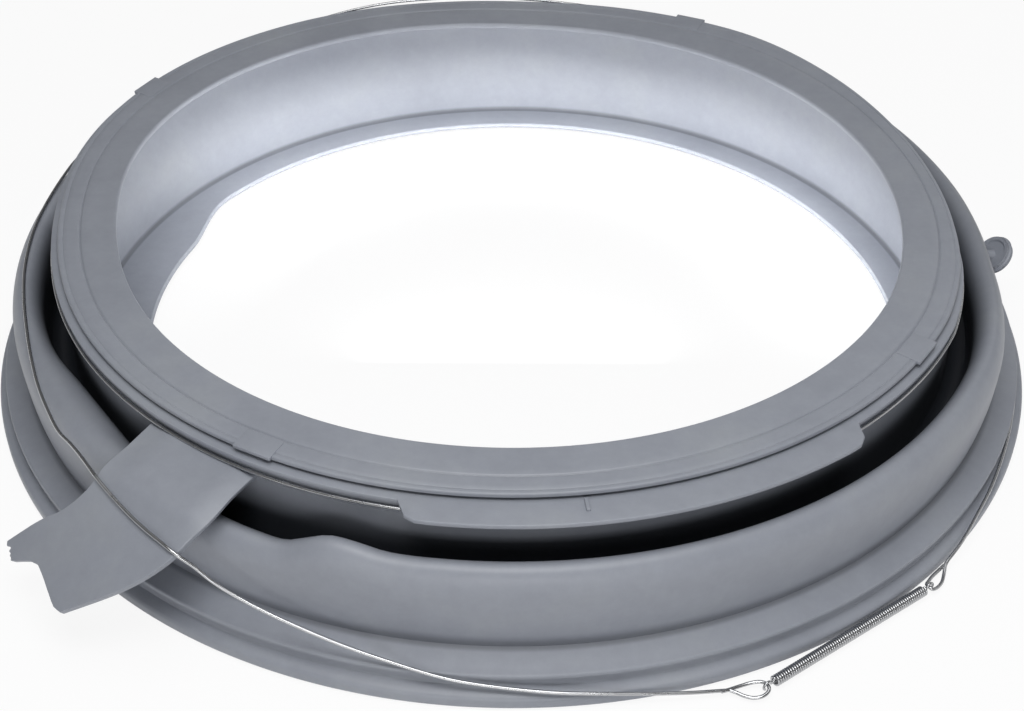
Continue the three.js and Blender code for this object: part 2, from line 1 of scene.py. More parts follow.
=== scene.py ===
import bpy
import math
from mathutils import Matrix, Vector


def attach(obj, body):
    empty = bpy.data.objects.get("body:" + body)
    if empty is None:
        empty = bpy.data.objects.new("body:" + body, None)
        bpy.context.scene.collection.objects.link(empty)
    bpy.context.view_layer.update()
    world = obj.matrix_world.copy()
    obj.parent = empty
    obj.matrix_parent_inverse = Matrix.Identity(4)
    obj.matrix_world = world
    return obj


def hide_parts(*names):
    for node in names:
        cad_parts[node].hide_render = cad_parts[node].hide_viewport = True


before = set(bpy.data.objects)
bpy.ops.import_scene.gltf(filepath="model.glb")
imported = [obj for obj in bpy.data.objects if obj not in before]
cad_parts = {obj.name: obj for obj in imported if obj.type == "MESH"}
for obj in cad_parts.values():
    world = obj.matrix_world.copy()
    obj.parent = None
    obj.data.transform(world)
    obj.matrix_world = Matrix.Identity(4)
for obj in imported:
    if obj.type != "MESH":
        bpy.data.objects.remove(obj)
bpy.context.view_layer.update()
print("stage: frame loaded,", len(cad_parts), "nodes")

millimetre = 0.001


def pick(piece):
    if bpy.context.mode != "OBJECT":
        bpy.ops.object.mode_set(mode="OBJECT")
    bpy.ops.object.select_all(action="DESELECT")
    piece.select_set(True)
    bpy.context.view_layer.objects.active = piece


def selectAll():
    bpy.ops.mesh.select_all(action="SELECT")


def edit(piece):
    pick(piece)
    bpy.ops.object.mode_set(mode="EDIT")
    bpy.ops.mesh.select_mode(type="VERT")
    selectAll()


def done():
    bpy.ops.object.mode_set(mode="OBJECT")


def turn(axis, degrees):  # clockwise seen from the axis's tip, as transform.rotate turns with no window
    bpy.ops.transform.rotate(value=math.radians(degrees), orient_axis=axis, center_override=(0, 0, 0))


def mergeDoubles(threshold):
    selectAll()
    bpy.ops.mesh.remove_doubles(threshold=threshold)


def faceOutwards():
    selectAll()
    bpy.ops.mesh.normals_make_consistent(inside=False)


def apply(piece, kind, **settings):
    pick(piece)
    bpy.ops.object.modifier_add(type=kind)
    modifier = piece.modifiers[-1]
    for name, value in settings.items():
        setattr(modifier, name, value)
    bpy.ops.object.modifier_apply(modifier=modifier.name)


def roundEdges(piece, width, sharperThan):  # sharperThan in degrees
    limit = math.radians(sharperThan)
    apply(piece, "BEVEL", width=width, segments=3, limit_method="ANGLE", angle_limit=limit)


def weldInto(piece, other):
    apply(piece, "BOOLEAN", operation="UNION", solver="EXACT", object=other)
    bpy.data.objects.remove(other)


def finish(piece, name, material, smooth, replaced):
    piece.name = name
    edit(piece)
    bpy.ops.transform.resize(value=(millimetre, millimetre, millimetre), center_override=(0, 0, 0))
    done()
    pick(piece)
    bpy.ops.object.transform_apply(location=True, rotation=True, scale=True)
    bpy.ops.object.shade_smooth_by_angle(angle=math.radians(smooth))
    piece.data.materials.clear()
    piece.data.materials.append(material)
    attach(piece, "root")
    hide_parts(replaced)
    print("piece:", name, len(piece.data.polygons), "faces")


def around(radius, angle, z):  # angle clockwise from +X seen from above: 90 near, 180 left, 270 back
    a = math.radians(angle)
    return Vector((radius * math.cos(a), -radius * math.sin(a), z))


def angleOf(x, y):
    return math.degrees(math.atan2(-y, x)) % 360


def spots(radius, height, offsets, place=around):  # rows of offset outward, angle and offset upward
    return [place(radius + out, angle, height + up) for out, angle, up in offsets]


def pushed(x, y, z, radius, out):  # a point at this radius, moved out from the axis
    return Vector((x * (radius + out) / radius, y * (radius + out) / radius, z))


def part(value):  # kept from 0 to 1
    return min(1.0, max(0.0, value))


def step(value, low, high):
    t = part((value - low) / (high - low))
    return t * t * (3 - 2 * t)


def colour(hexValue):
    parts = [int(hexValue[i : i + 2], 16) / 255 for i in (0, 2, 4)]
    return tuple(c / 12.92 if c <= 0.04045 else ((c + 0.055) / 1.055) ** 2.4 for c in parts) + (1.0,)


def add(tree, kind, at, settings=None, links=None):  # a number as a key is an input's place in its list
    node = tree.nodes.new(kind)
    node.location = at
    for key, value in (settings or {}).items():
        if isinstance(key, int) or key in node.inputs:
            node.inputs[key].default_value = value
        else:
            setattr(node, key, value)
    for key, source in (links or {}).items():
        tree.links.new(source, node.inputs[key])
    return node


def emptyMaterial(name):
    material = bpy.data.materials.new(name)
    material.use_nodes = True
    material.node_tree.nodes.clear()
    return material, material.node_tree


rubberLook = {
    "base": "8f939c",
    "pale": "94989f",  # bloom that comes to the surface of aged rubber
    "deep": "8a8e97",
    "tones": (0.3, 0.5, 0.72),  # where the bloom's noise is deep, base and pale
    "bloomSize": 38,  # mm across
    "dustSize": 4.5,  # mm across
    "dustNoise": (0.35, 0.75),
    "dustTone": (0.97, 1.04),
    "roughness": 0.44,
    "smoother": -0.05,
    "rougher": 0.07,
    "grainSize": 1.1,  # mm, the spark-eroded mould's texture, drawn a little coarse so that it shows
    "grainDepth": 0.018,  # mm
    "paintedShade": "2b2e34",  # painted shade: the dark grey that the deep trough, the crease under the fold and the wall's foot are darkened towards
    # where the painted shade lies, in mm: each row is nothing at its first measure and full at its second
    "marks": {
        "trough": [("radius", 172.5, 173.5), ("radius", 189.5, 183.0), ("z", 51, 34)],
        "backLeft": [("y", -5, 12), ("x", 20, -20)],
        "crease": [("radius", 193.6, 191.7), ("radius", 189.2, 191.1), ("z", 20, 15)],
        "foot": [("radius", 168.4, 169.4), ("radius", 171.6, 170.6), ("z", 7.6, 5.6)],
    },
    "faint": {"crease": 0.42, "foot": 0.5},  # strength of the painted shade lines under the fold and at the wall's foot
}


def mouldedRubber(look):
    # EPDM, compression moulded: satin, with soft broad highlights, and painted shade in the trough, the
    # crease and at the wall's foot
    material, tree = emptyMaterial("mouldedGreyRubber")
    place = add(tree, "ShaderNodeTexCoord", (-1200, 0)).outputs["Object"]
    patterns = {}
    for row, (name, size, detail, coarseness) in enumerate((
        ("bloom", look["bloomSize"], 5.0, 0.62),
        ("dust", look["dustSize"], 4.0, 0.7),
        ("grain", look["grainSize"], 3.0, 0.6),
    )):
        noise = {"Scale": 1 / (size * millimetre), "Detail": detail, "Roughness": coarseness}
        node = add(tree, "ShaderNodeTexNoise", (-950, 200 - 260 * row), noise, {"Vector": place})
        patterns[name] = node.outputs["Fac"]

    ramp = add(tree, "ShaderNodeValToRGB", (-700, 200), {}, {"Fac": patterns["bloom"]})
    stops = ramp.color_ramp.elements
    stops[0].position, middle, stops[1].position = look["tones"]
    stops[0].color = colour(look["deep"])
    stops[1].color = colour(look["pale"])
    stops.new(middle).color = colour(look["base"])
    dustRange = dict(zip(("From Min", "From Max", "To Min", "To Max"), look["dustNoise"] + look["dustTone"]))
    speck = add(tree, "ShaderNodeMapRange", (-700, -60), dustRange, {"Value": patterns["dust"]})
    tint = add(
        tree,
        "ShaderNodeMix",
        (-450, 120),
        {"data_type": "RGBA", "blend_type": "MULTIPLY", 0: 1.0},
        {6: ramp.outputs["Color"], 7: speck.outputs["Result"]},
    )
    gloss = add(
        tree,
        "ShaderNodeMapRange",
        (-450, -120),
        {"To Min": look["roughness"] + look["smoother"], "To Max": look["roughness"] + look["rougher"]},
        {"Value": patterns["bloom"]},
    )

    parts = add(tree, "ShaderNodeSeparateXYZ", (-950, 520), {}, {"Vector": place})
    flat = add(tree, "ShaderNodeVectorMath", (-950, 700), {"operation": "MULTIPLY", 1: (1, 1, 0)}, {0: place})
    span = add(tree, "ShaderNodeVectorMath", (-760, 700), {"operation": "LENGTH"}, {0: flat.outputs[0]})
    measures = {axis.lower(): parts.outputs[axis] for axis in "XYZ"}
    measures["radius"] = span.outputs["Value"]
    masks = {}
    for row, (name, edges) in enumerate(look["marks"].items()):
        mask = None
        for column, (measure, start, end) in enumerate(edges):
            at = (-560 + 180 * column, 480 + 220 * row)
            limits = {"From Min": start * millimetre, "From Max": end * millimetre}
            edge = add(tree, "ShaderNodeMapRange", at, limits, {"Value": measures[measure]})
            edge.interpolation_type = "SMOOTHSTEP"
            if mask:
                both = {0: mask.outputs[0], 1: edge.outputs[0]}
                mask = add(tree, "ShaderNodeMath", at, {"operation": "MULTIPLY"}, both)
            else:
                mask = edge
        masks[name] = mask.outputs[0]
    # the wall leans out over the trough at the back left, so its inner side is kept free of the painted shade
    # there
    less = {"operation": "SUBTRACT", 0: 1.0}
    elsewhere = add(tree, "ShaderNodeMath", (-20, 700), less, {1: masks["backLeft"]})
    trough = {0: masks["trough"], 1: elsewhere.outputs[0]}
    shadeAmount = add(tree, "ShaderNodeMath", (140, 600), {"operation": "MULTIPLY"}, trough)
    for name, strength in look["faint"].items():
        weaker = {"operation": "MULTIPLY", 1: strength}
        faint = add(tree, "ShaderNodeMath", (140, 900), weaker, {0: masks[name]})
        both = {0: shadeAmount.outputs[0], 1: faint.outputs[0]}
        shadeAmount = add(tree, "ShaderNodeMath", (300, 800), {"operation": "MAXIMUM"}, both)
    # painted shade: the rubber's colour is mixed towards a dark grey in the trough, the crease under the fold
    # and at the wall's foot
    shadeMixed = add(
        tree,
        "ShaderNodeMix",
        (-200, 260),
        {"data_type": "RGBA", 7: colour(look["paintedShade"])},
        {0: shadeAmount.outputs[0], 6: tint.outputs[2]},
    )

    grainBump = {"Strength": 0.5, "Distance": look["grainDepth"] * millimetre}
    bump = add(tree, "ShaderNodeBump", (-200, -320), grainBump, {"Height": patterns["grain"]})
    surface = {"Base Color": shadeMixed.outputs[2], "Roughness": gloss.outputs[0], "Normal": bump.outputs[0]}
    shader = add(tree, "ShaderNodeBsdfPrincipled", (0, 0), {"Metallic": 0.0, "IOR": 1.5}, surface)
    add(tree, "ShaderNodeOutputMaterial", (300, 0), {}, {"Surface": shader.outputs["BSDF"]})
    return material


steelLook = {
    "base": "b4b5b7",
    "roughness": 0.26,
    "smoother": -0.07,
    "rougher": 0.1,
    "smearSize": 9.0,  # mm across
    "drawMark": 0.35,  # mm between the die's drawing marks
    "markDepth": 0.01,  # mm
}


def drawnSteel(look):
    # stainless spring wire, drawn through a die: bright with fine marks
    material, tree = emptyMaterial("drawnStainlessWire")
    place = add(tree, "ShaderNodeTexCoord", (-900, 0)).outputs["Object"]
    markNoise = {"Scale": 1 / (look["drawMark"] * millimetre), "Detail": 2.0}
    marks = add(tree, "ShaderNodeTexNoise", (-650, -150), markNoise, {"Vector": place})
    smearNoise = {"Scale": 1 / (look["smearSize"] * millimetre), "Detail": 3.0}
    smear = add(tree, "ShaderNodeTexNoise", (-650, 150), smearNoise, {"Vector": place})
    gloss = add(
        tree,
        "ShaderNodeMapRange",
        (-400, 100),
        {"To Min": look["roughness"] + look["smoother"], "To Max": look["roughness"] + look["rougher"]},
        {"Value": smear.outputs["Fac"]},
    )
    markBump = {"Strength": 0.4, "Distance": look["markDepth"] * millimetre}
    bump = add(tree, "ShaderNodeBump", (-300, -150), markBump, {"Height": marks.outputs["Fac"]})
    shader = add(
        tree,
        "ShaderNodeBsdfPrincipled",
        (0, 0),
        {"Metallic": 1.0, "Base Color": colour(look["base"])},
        {"Roughness": gloss.outputs["Result"], "Normal": bump.outputs["Normal"]},
    )
    add(tree, "ShaderNodeOutputMaterial", (300, 0), {}, {"Surface": shader.outputs["BSDF"]})
    return material


rubber = mouldedRubber(rubberLook)
steel = drawnSteel(steelLook)
print("stage: materials")

seal = {
    "steps": 320,
    "openingRadius": 150.9,
    "openingEdge": 0.9,  # rounding of the opening's edge
    "faceWidth": 21.6,
    "height": 60.3,
    "faceThickness": 2.4,
    "faceEdge": 0.6,
    "edgeThickness": 1.7,
    "grooveInset": 8.2,  # the fine groove, from the face's outer edge
    "grooveDepth": 0.5,
    "grooveSide": [(0.75, 0), (0.5, 0.08), (0.22, 0.38)],  # distance from its middle and depth there
    "edgeLineInset": 2.0,  # a finer line near the face's outer edge
    "edgeLineDepth": 0.22,
    "edgeLineHalf": 0.4,
    "slotGap": 1.1,
    "slotDepth": 4.6,
    "lipThickness": 1.7,
    "lipEdge": 0.4,
    "lipOverhang": 0.9,
    "seatStep": 1.0,
    "seatHeight": 4.6,
    "wallInset": 2.1,
    "wallThickness": 3.0,
    "shoulder": 6.6,
    "rearHoleRadius": 156.6,
    "rearLipHeight": 5.0,
    "rearLipThickness": 2.4,
    "troughWidth": 8.6,
    "troughFloor": 17.0,
    "foldWidth": 11.1,
    "foldTop": 45.6,
    "crownRise": 9.7,
    # the fold's outer side below the crown: share of the way down and share of the crease's inset
    "foldSide": [
        (0.14, 0.03), (0.28, 0.09), (0.42, 0.17), (0.56, 0.29), (0.7, 0.45), (0.84, 0.68), (0.94, 0.88),
    ],
    "skin": 2.6,
    "creaseInset": 1.9,
    "creaseHeight": 13.9,
    "shelfWidth": 9.2,
    "ridgeHeight": 11.2,
    "ridgeEdge": 0.7,
    "clampSeatDepth": 0.6,
    "clampSeatTop": 9.6,
    "clampSeatHeight": 4.2,
    "clampSeatCorner": (0.8, 0.6),  # how much its flat back stops short of its top and bottom
    "beadReach": 3.9,
    "beadEdge": 1.7,
    "footEdge": 0.9,
    "rimThickness": 1.1,  # outside the slot for the tub
    "tubLegWidth": 2.6,
    "tubSlotWidth": 2.8,
    "tubSlotDepth": 6.0,
}
faceRadius = seal["openingRadius"] + seal["faceWidth"]
wallInner = faceRadius - seal["wallInset"]
wallOuter = wallInner + seal["wallThickness"]
foldInner = wallOuter + seal["troughWidth"]
foldOuter = foldInner + seal["foldWidth"]
foldMiddle = (foldInner + foldOuter) / 2
foldTop = seal["foldTop"]
creaseRadius = foldOuter - seal["creaseInset"]
ridgeRadius = creaseRadius + seal["shelfWidth"]
rimRadius = ridgeRadius + seal["beadReach"]
clampSeatRadius = ridgeRadius - seal["clampSeatDepth"]
clampSeatBottom = seal["clampSeatTop"] - seal["clampSeatHeight"]
slotTop = seal["height"] - seal["edgeThickness"]
slotRadius = faceRadius - seal["slotDepth"]
lipTop = slotTop - seal["slotGap"]
lipBottom = lipTop - seal["lipThickness"]
seatRadius = wallOuter + seal["seatStep"]
seatBottom = lipBottom - seal["seatHeight"]
lipRadius = seatRadius + seal["lipOverhang"]
wallTopHeight = seatBottom - seal["seatStep"]
wallFixedHeight = seal["troughFloor"] + seal["troughWidth"] / 2
crownBase = foldTop - seal["crownRise"]


def arcPoints(centre, radius, start, end, count, rise=None):  # degrees; rise is for an arc that isn't round
    points = []
    for i in range(count + 1):
        a = math.radians(start + (end - start) * i / count)
        points.append((centre[0] + radius * math.cos(a), centre[1] + (rise or radius) * math.sin(a)))
    return points


def line(a, b, count):  # the points between a and b, without a
    return [(a[0] + (b[0] - a[0]) * i / count, a[1] + (b[1] - a[1]) * i / count) for i in range(1, count + 1)]


def sealSection(s):
    top = s["height"]
    opening, face, lip = s["openingEdge"], s["faceEdge"], s["lipEdge"]
    groove = faceRadius - s["grooveInset"]
    edgeLine = faceRadius - s["edgeLineInset"]
    # door face with its two fine grooves
    points = arcPoints((s["openingRadius"] + opening, top - opening), opening, 180, 90, 5)
    points += line(points[-1], (groove - s["grooveSide"][0][0], top), 5)
    points += [(groove - off, top - deep) for off, deep in s["grooveSide"][1:]]
    points += [(groove, top - s["grooveDepth"])]
    points += [(groove + off, top - deep) for off, deep in reversed(s["grooveSide"])]
    points += line(points[-1], (edgeLine - s["edgeLineHalf"], top), 3)
    points += [(edgeLine, top - s["edgeLineDepth"]), (edgeLine + s["edgeLineHalf"], top)]
    points += arcPoints((faceRadius - face, top - face), face, 90, 0, 4)
    points += [(faceRadius, slotTop + 0.25), (faceRadius - 0.25, slotTop)]
    # panel slot, lip and wire seat
    points += [(slotRadius, slotTop), (slotRadius, lipTop)]
    points += [(faceRadius - 1.5, lipTop), (lipRadius - lip, lipTop)]
    points += arcPoints((lipRadius - lip, lipTop - lip), lip, 90, 0, 3)[1:]
    points += arcPoints((lipRadius - lip, lipBottom + lip), lip, 0, -90, 3)
    points += [(seatRadius, lipBottom), (seatRadius, seatBottom + 0.4), (seatRadius - 0.3, seatBottom)]
    points += [(wallOuter, wallTopHeight)]
    # wall, trough, fold and crease
    troughMiddle = (wallOuter + foldInner) / 2
    troughRadius = s["troughWidth"] / 2
    troughCentre = s["troughFloor"] + troughRadius
    lowFold = crownBase - s["creaseHeight"]
    half = s["foldWidth"] / 2
    points += line(points[-1], (wallOuter, troughCentre), 8)
    points += arcPoints((troughMiddle, troughCentre), troughRadius, 180, 360, 10)[1:]
    points += line(points[-1], (foldInner, crownBase), 4)
    points += arcPoints((foldMiddle, crownBase), half, 180, 0, 20, s["crownRise"])[1:]
    for share, inset in s["foldSide"]:
        points += [(foldOuter - inset * s["creaseInset"], crownBase - share * lowFold)]
    points += [(creaseRadius, s["creaseHeight"])]
    # tub rim
    seatTop = s["clampSeatTop"]
    cornerTop, cornerBottom = s["clampSeatCorner"]
    bead, foot = s["beadEdge"], s["footEdge"]
    points += line(points[-1], (ridgeRadius - 0.4, s["ridgeHeight"] + 0.12), 4)
    points += arcPoints((ridgeRadius - 0.2, s["ridgeHeight"] - 0.62), s["ridgeEdge"], 80, 0, 4)
    points += [(ridgeRadius + 0.5, seatTop + 0.2), (ridgeRadius + 0.3, seatTop)]
    points += [(clampSeatRadius + 0.1, seatTop - 0.4), (clampSeatRadius, seatTop - cornerTop)]
    points += line(points[-1], (clampSeatRadius, clampSeatBottom + cornerBottom), 3)
    points += [(clampSeatRadius + 0.2, clampSeatBottom + 0.2), (ridgeRadius + 0.2, clampSeatBottom + 0.02)]
    points += [(ridgeRadius + 0.45 * s["beadReach"], clampSeatBottom - 0.3)]
    points += arcPoints((rimRadius - bead, clampSeatBottom - 2.35), bead, 68, 0, 6)
    points += [(rimRadius, 1.0)]
    points += arcPoints((rimRadius - foot, foot), foot, 0, -90, 4)[1:]
    channelOut = creaseRadius + s["tubLegWidth"] + s["tubSlotWidth"] + s["rimThickness"]
    channelIn = channelOut - s["tubSlotWidth"]
    legIn = channelIn - s["tubLegWidth"]
    channelTop = s["tubSlotDepth"]
    points += [(channelOut, 0), (channelOut, channelTop), (channelIn, channelTop), (channelIn, 0), (legIn, 0)]
    points += line(points[-1], (legIn, channelTop + 1.4), 2)
    # inside of the fold, back under the trough
    underTrough = troughRadius + s["skin"]
    underEnd = 180 + math.degrees(math.acos(troughRadius / underTrough))
    points += [(creaseRadius - s["skin"], s["creaseHeight"] - 2.3)]
    points += [(foldOuter - s["skin"] - 0.5 * s["creaseInset"], crownBase - 0.72 * lowFold)]
    points += arcPoints((foldMiddle, crownBase), half - s["skin"], 0, 180, 12, s["crownRise"] - s["skin"])
    points += arcPoints((troughMiddle, troughCentre), underTrough, 360, underEnd, 8)
    # rear wall and rear lip
    rear = s["rearLipHeight"]
    under = rear - s["rearLipThickness"]
    hole = s["rearHoleRadius"]
    points += [(wallOuter, rear - 0.2), (wallOuter - 0.5, rear - 1.4), (wallOuter - 1.9, under)]
    points += line(points[-1], (hole + 1.4, under - 0.6), 2)
    points += [(hole + 0.6, under - 0.5), (hole + 0.1, rear - 2.3), (hole, rear - 1.9)]
    points += [(hole + 0.25, rear - 1.3), (hole + 0.9, rear - 0.8)]
    points += line(points[-1], (wallInner - 1.6, rear - 0.02), 4)
    points += [(wallInner - 0.6, rear + 0.2), (wallInner - 0.1, rear + 0.6), (wallInner, rear + 1.2)]
    points += line(points[-1], (wallInner, wallFixedHeight), 4)
    points += line(points[-1], (wallInner, wallTopHeight - 1.6), 6)
    # shoulder and underside of the face
    faceBottom = top - s["faceThickness"]
    points += [(wallInner - 0.25, wallTopHeight)]
    points += line(points[-1], (slotRadius - 3.2, wallTopHeight + s["shoulder"] - 0.4), 3)
    points += [(slotRadius - 4.4, faceBottom)]
    points += line(points[-1], (s["openingRadius"] + 1.1, faceBottom), 3)
    points += arcPoints((s["openingRadius"] + opening, faceBottom + opening), opening, 250, 180, 3)
    return points


def spinSection(points, steps):
    bpy.ops.mesh.primitive_plane_add(size=1, location=(0, 0, 0))
    piece = bpy.context.object
    edit(piece)
    bpy.ops.mesh.merge(type="CENTER")
    selectAll()
    bpy.ops.transform.translate(value=(points[0][0], 0, points[0][1]))
    for a, b in zip(points, points[1:] + points[:1]):
        bpy.ops.mesh.extrude_region_move(TRANSFORM_OT_translate={"value": (b[0] - a[0], 0, b[1] - a[1])})
    mergeDoubles(0.004)
    selectAll()
    bpy.ops.mesh.spin(steps=steps, angle=2 * math.pi, center=(0, 0, 0), axis=(0, 0, 1), use_auto_merge=True)
    mergeDoubles(0.004)
    faceOutwards()
    done()
    return piece


gasket = spinSection(sealSection(seal), seal["steps"])
print("stage: section spun,", len(gasket.data.polygons), "faces")

# how the soft door end lies: degrees, shift outward, rise of the face's outer edge,
# draw inward beyond the fine groove, further draw inward of the lip and wall
lie = [
    (28, 0, 0, 0, 0), (90, 0, 0, 0, 0), (152, 0, 0, 0, 0), (166, 0.3, 0, 0, 0), (176, 1.6, 0, 0, 0),
    (186, 4.0, 0.6, 0, 0), (200, 7.0, 1.6, 0, 0), (216, 8.2, 2.1, 0, 0), (232, 7.2, 2.3, 0, 0),
    (248, 5.4, 2.0, 0, 0), (261, 2.4, 2.0, 0, 0), (274, 0, 2.2, 0, 0), (294, -0.5, 3.2, 0, 0),
    (310, -1.0, 4.2, 0, 0), (326, -1.6, 3.1, 1.5, 1.0), (341, -1.9, 1.2, 2.3, 2.2), (354, -1.8, 0, 2.4, 3.0),
    (366, -1.4, 0, 2.0, 3.0), (376, -0.9, 0, 0.6, 1.4), (388, 0, 0, 0, 0),
]

# how the fold lies: degrees, rise of the crown, reach of its inner side inward, draw inward of the whole fold
foldLie = [
    (96, 0, 0, 0), (101.5, 0.2, 0, 0), (104.6, 2.2, 0, 0), (107.2, 2.6, 0, 0), (109.8, -1.1, 0, 0),
    (112, -4.4, 0, 0), (115, -4.8, 0.1, 0), (119, -4.6, 0.4, 0), (126, -3.2, 1.8, 0), (132, -2.0, 3.2, 0),
    (138, -0.8, 5.2, 0), (143, -0.3, 5.8, 0), (148, 0, 5.0, 0), (153, 0, 2.6, 0), (158, 0, 1.0, 0),
    (166, 0, 0, 0), (322, 0, 0, 0), (332, 0, 0, 1.8), (342, 0, 0, 3.4), (352, 0, 0, 4.4), (360, 0, 0, 5.0),
    (367, 0, 0, 4.8), (375, 0, 0, 2.6), (382, 0, 0, 0.8), (387, 0, 0, 0),
]


def along(table, x):  # smooth line through a table's rows
    x = min(max(x, table[0][0]), table[-1][0])
    i = max(k for k in range(len(table) - 1) if table[k][0] <= x)
    low, high = table[i], table[i + 1]
    before = table[i - 1] if i > 0 else low
    after = table[i + 2] if i + 2 < len(table) else high
    span = high[0] - low[0]
    t = (x - low[0]) / span
    values = []
    for c in range(1, len(low)):
        slopeLow = (high[c] - before[c]) / (high[0] - before[0]) * span
        slopeHigh = (after[c] - low[c]) / (after[0] - low[0]) * span
        value = (2 * t**3 - 3 * t * t + 1) * low[c] + (t**3 - 2 * t * t + t) * slopeLow
        value = value + (3 * t * t - 2 * t**3) * high[c] + (t**3 - t * t) * slopeHigh
        values.append(value)
    return values


def lieAt(table, angle):  # the tables start where nothing lies off the round form, and run on past 360
    return along(table, angle + 360 if angle < lie[0][0] else angle)


def settle(point):  # the lie of the door end grows from the trough's height up to the top of the wall
    x, y, z = point
    radius = math.hypot(x, y)
    share = part((z - wallFixedHeight) / (wallTopHeight - wallFixedHeight))
    if share == 0 or (share < 1 and radius > wallOuter + 0.5 and z < wallTopHeight - 0.5):
        return Vector(point)
    shift, rise, draw, lipDraw = lieAt(lie, angleOf(x, y))
    out = min(1.2, max(0.0, (radius - seal["openingRadius"]) / seal["faceWidth"]))
    beyond = part((radius - faceRadius) / seal["grooveInset"] + 1)
    below = lipDraw if z < slotTop - 0.1 and radius > wallInner - 0.5 else 0
    k = 1 + share * (shift - draw * beyond - below) / radius
    return Vector((x * k, y * k, z + share * rise * out))


def settled(radius, angle, z):
    return settle(around(radius, angle, z))


tab = {"reach": 7.8, "start": 51, "end": 101, "corner": 2.4}
flap = {"reach": 9.5, "middle": 178, "halfAngle": 28, "blend": 16, "root": 1.0, "width": 4.0}


def tabReach(angle):
    rise = part(min((angle - tab["start"]) / tab["corner"], (tab["end"] - angle) / tab["corner"]))
    return tab["reach"] * math.sqrt(rise * (2 - rise))  # the ends are round


# tab in the lip, lie of the fold and flap in the rear lip, then the lie of the door end
for vertex in gasket.data.vertices:
    x, y, z = vertex.co
    radius, angle = math.hypot(x, y), angleOf(x, y)
    if radius > lipRadius - 0.75 and lipBottom - 0.01 < z < lipTop + 0.01:
        vertex.co = pushed(x, y, z, radius, tabReach(angle))
    elif z > seal["creaseHeight"] and foldInner - 1 < radius < foldOuter + 1:
        rise, inward, draw = lieAt(foldLie, angle)
        share = part((z - wallFixedHeight) / (crownBase - wallFixedHeight))
        drawn = draw * min(1.0, (z - seal["creaseHeight"]) / (crownBase - seal["creaseHeight"]))
        shift = drawn + inward * share * part((foldOuter - radius) / seal["foldWidth"])
        vertex.co = pushed(x, y, z + share * rise, radius, -shift)
    elif z <= seal["rearLipHeight"] + 0.05 and radius < wallInner - flap["root"]:
        off = abs(angle - flap["middle"]) - flap["halfAngle"]
        grow = flap["reach"] * (1 - step(off, -flap["blend"] / 2, flap["blend"] / 2))
        grow *= step(wallInner - flap["root"] - radius, 0, flap["width"])
        vertex.co = pushed(x, y, z, radius, -grow)
    vertex.co = settle(vertex.co)
gasket.data.update()
print("stage: lip tab, rear flap and lie")

pads = {
    "angles": (36, 117.6, 208, 299),
    "span": 4.6,  # degrees
    "width": 8.7,
    "height": 0.25,
    "overhang": 1.3,
    "depth": 1.1,  # sunk in the face
    "edge": 0.2,
}


def moulding(size, at, bevel):
    bpy.ops.mesh.primitive_cube_add(size=1, location=(0, 0, 0))
    piece = bpy.context.object
    edit(piece)
    bpy.ops.transform.resize(value=size)
    bpy.ops.mesh.bevel(offset=bevel, segments=3, affect="EDGES")
    selectAll()
    bpy.ops.transform.translate(value=at)
    done()
    return piece


for angle in pads["angles"]:
    length = math.radians(pads["span"]) * faceRadius
    padMiddle = faceRadius + pads["overhang"] - pads["width"] / 2
    padHeight = seal["height"] + (pads["height"] - pads["depth"]) / 2
    padSize = (pads["width"], length, pads["depth"] + pads["height"])
    pad = moulding(padSize, (padMiddle, 0, padHeight), pads["edge"])
    for vertex in pad.data.vertices:  # bent to the ring and laid on it
        x, y, z = vertex.co
        vertex.co = settled(x, angle - math.degrees(y / faceRadius), z)
    weldInto(gasket, pad)

rib = {"angle": 82.5, "width": 1.3, "length": 5.4, "height": 0.8, "inset": 0.4, "edge": 0.3}
ribPiece = moulding(
    (rib["length"], rib["width"], rib["height"] + rib["inset"]),
    (faceRadius + rib["inset"] + rib["length"] / 2, 0, lipTop + (rib["height"] - rib["inset"]) / 2),
    rib["edge"],
)
edit(ribPiece)
turn("Z", rib["angle"])
done()
weldInto(gasket, ribPiece)
print("stage: pads and rib")


def smoothLine(points, density):  # centripetal line through the points, as evenly spaced points
    pts = [Vector(p) for p in points]
    out = []
    for i in range(len(pts) - 1):
        p1, p2 = pts[i], pts[i + 1]
        p0 = pts[i - 1] if i > 0 else p1 + (p1 - p2)
        p3 = pts[i + 2] if i + 2 < len(pts) else p2 + (p2 - p1)
        t0 = 0.0
        t1 = t0 + max(1e-6, (p1 - p0).length) ** 0.5
        t2 = t1 + max(1e-6, (p2 - p1).length) ** 0.5
        t3 = t2 + max(1e-6, (p3 - p2).length) ** 0.5
        count = max(2, int((p2 - p1).length / density))
        for k in range(count):
            t = t1 + (t2 - t1) * k / count
            a1 = p0 * ((t1 - t) / (t1 - t0)) + p1 * ((t - t0) / (t1 - t0))
            a2 = p1 * ((t2 - t) / (t2 - t1)) + p2 * ((t - t1) / (t2 - t1))
            a3 = p2 * ((t3 - t) / (t3 - t2)) + p3 * ((t - t2) / (t3 - t2))
            b1 = a1 * ((t2 - t) / (t2 - t0)) + a2 * ((t - t0) / (t2 - t0))
            b2 = a2 * ((t3 - t) / (t3 - t1)) + a3 * ((t - t1) / (t3 - t1))
            out.append(b1 * ((t2 - t) / (t2 - t1)) + b2 * ((t - t1) / (t2 - t1)))
    return out + [pts[-1]]


def lineAt(points, share):  # the point at a share of the line's length
    total = [0.0]
    for a, b in zip(points, points[1:]):
        total.append(total[-1] + (b - a).length)
    want = share * total[-1]
    for i in range(1, len(points)):
        if total[i] >= want - 1e-9:
            t = (want - total[i - 1]) / max(1e-9, total[i] - total[i - 1])
            return points[i - 1].lerp(points[i], t)
    return points[-1].copy()


